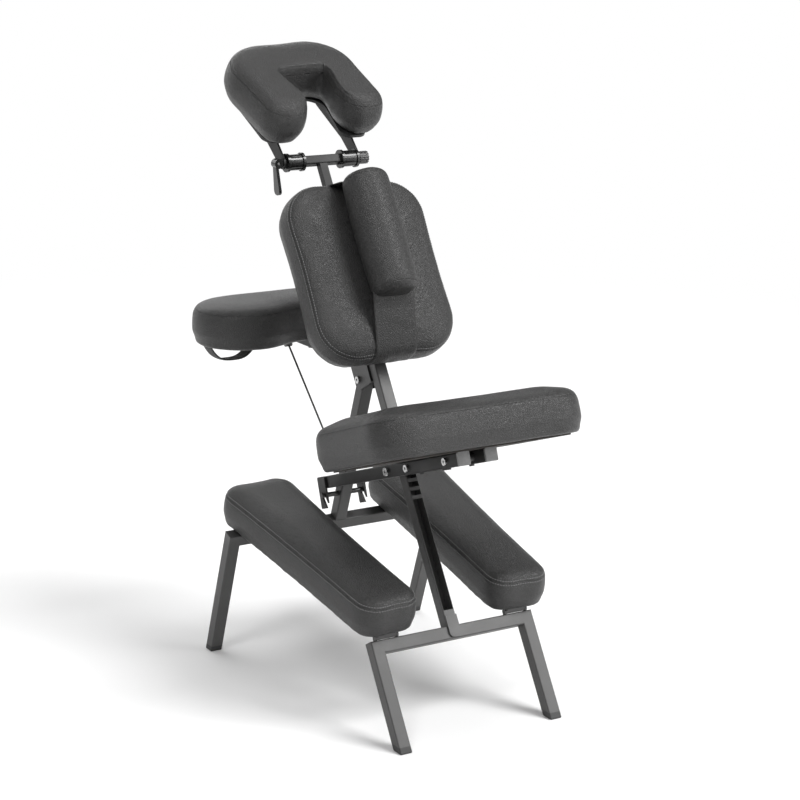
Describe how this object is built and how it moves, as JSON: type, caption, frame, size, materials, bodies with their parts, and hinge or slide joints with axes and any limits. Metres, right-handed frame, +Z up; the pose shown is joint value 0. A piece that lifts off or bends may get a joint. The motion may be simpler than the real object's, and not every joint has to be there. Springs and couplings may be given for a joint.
{
  "type": "folding massage chair",
  "caption": "Folding massage chair on a square-tube A-frame, with padded seat, shin rests, chest rest, armrest and a tilting horseshoe face cradle.",
  "frame": {"origin": "on the floor, under the middle of the chair's outer box", "axes": "+Z up, +Y the way the sitter faces, +X the sitter's right"},
  "size_m": [0.498, 0.8517, 1.212],
  "materials": {
    "powder_coat": "satin",
    "leather": "grained",
    "board": "matte",
    "zinc": "plated",
    "black_plastic": "gloss",
    "foot_plastic": "matte",
    "cap_plastic": "matte",
    "webbing": "woven"
  },
  "bodies": {
    "mast_frame": {"rear_crossbar": "powder_coat", "rear_leg_left": "powder_coat", "rear_leg_right": "powder_coat", "rear_feet": "foot_plastic", "mast_tube": "powder_coat", "mast_tie_plate": "powder_coat", "fold_bracket": "powder_coat", "fold_bolt": "zinc", "armrest_pivot_bolt": "zinc", "seat_pivot_bolt": "zinc", "shin_hinge_lugs": "powder_coat", "shin_hinge_pins": "zinc", "chest_plates": "powder_coat", "chest_board": "board", "chest_pad": "leather", "chest_screws": "zinc", "sternum_strap": "leather", "sternum_roll": "leather", "post_sleeve": "black_plastic"},
    "front_frame": {"front_crossbar": "powder_coat", "front_leg_left": "powder_coat", "front_leg_right": "powder_coat", "front_feet": "foot_plastic", "front_strut": "powder_coat", "catch_pin": "zinc", "stay_clip": "powder_coat"},
    "seat": {"seat_rail_left": "powder_coat", "seat_rail_right": "powder_coat", "rail_end_caps": "cap_plastic", "pivot_washers": "zinc", "rail_bolts": "zinc", "rail_spacers": "zinc", "catch_hooks": "powder_coat", "seat_board": "board", "seat_pad": "leather", "seat_screws": "zinc"},
    "shin_left": {"shin_board_left": "board", "shin_pad_left": "leather", "shin_leaf_left": "powder_coat"},
    "shin_right": {"shin_board_right": "board", "shin_pad_right": "leather", "shin_leaf_right": "powder_coat"},
    "armrest": {"armrest_bar": "powder_coat", "armrest_board": "board", "armrest_pad": "leather", "armrest_screws": "zinc", "hand_straps": "webbing", "stay_lug": "powder_coat"},
    "stay": {"armrest_stay": "zinc"},
    "head": {"head_post": "powder_coat", "post_collars": "black_plastic", "clamp_axle": "zinc"},
    "face_cradle": {"cradle_arm_left": "powder_coat", "cradle_arm_right": "powder_coat", "cradle_link": "zinc", "cradle_plate": "board", "face_cushion": "leather"},
    "lever": {"cam_lever": "black_plastic"},
    "knob": {"clamp_knob": "black_plastic"}
  },
  "joints": [
    {"name": "frame_fold", "type": "hinge", "parent": "mast_frame", "child": "front_frame", "pos_m": [0, 0.03927, 0.58731], "axis": [1, 0, 0], "range_deg": [-45, 0]},
    {"name": "seat_fold", "type": "hinge", "parent": "mast_frame", "child": "seat", "pos_m": [0, -0.11516, 0.44304], "axis": [1, 0, 0], "range_deg": [0, 54]},
    {"name": "shin_left_fold", "type": "hinge", "parent": "mast_frame", "child": "shin_left", "pos_m": [0, -0.28314, 0.186], "axis": [1, 0, 0], "range_deg": [0, 22.5]},
    {"name": "shin_right_fold", "type": "hinge", "parent": "mast_frame", "child": "shin_right", "pos_m": [0, -0.28314, 0.186], "axis": [1, 0, 0], "range_deg": [0, 22.5]},
    {"name": "armrest_fold", "type": "hinge", "parent": "mast_frame", "child": "armrest", "pos_m": [0, 0.0524, 0.61853], "axis": [1, 0, 0], "range_deg": [0, 36]},
    {"name": "stay_swing", "type": "hinge", "parent": "armrest", "child": "stay", "pos_m": [0, 0.37247, 0.59403], "axis": [1, 0, 0], "range_deg": [0, 60]},
    {"name": "head_post_slide", "type": "slide", "parent": "mast_frame", "child": "head", "axis": [0, 0.5195, 0.8545], "range_m": [-0.03, 0.06]},
    {"name": "cradle_tilt", "type": "hinge", "parent": "head", "child": "face_cradle", "pos_m": [0, 0.21967, 0.99374], "axis": [1, 0, 0], "range_deg": [-25, 35]},
    {"name": "cam_lever_swing", "type": "hinge", "parent": "head", "child": "lever", "pos_m": [-0.0973, 0.21967, 0.99374], "axis": [0, 1, 0], "range_deg": [0, 90]},
    {"name": "clamp_knob_turn", "type": "hinge", "parent": "head", "child": "knob", "pos_m": [0, 0.21967, 0.99374], "axis": [1, 0, 0], "continuous": true}
  ],
  "couplings": [
    {"joint": "seat_fold", "follows": "frame_fold", "ratio": -1.2},
    {"joint": "shin_left_fold", "follows": "frame_fold", "ratio": -0.5},
    {"joint": "shin_right_fold", "follows": "frame_fold", "ratio": -0.5}
  ]
}
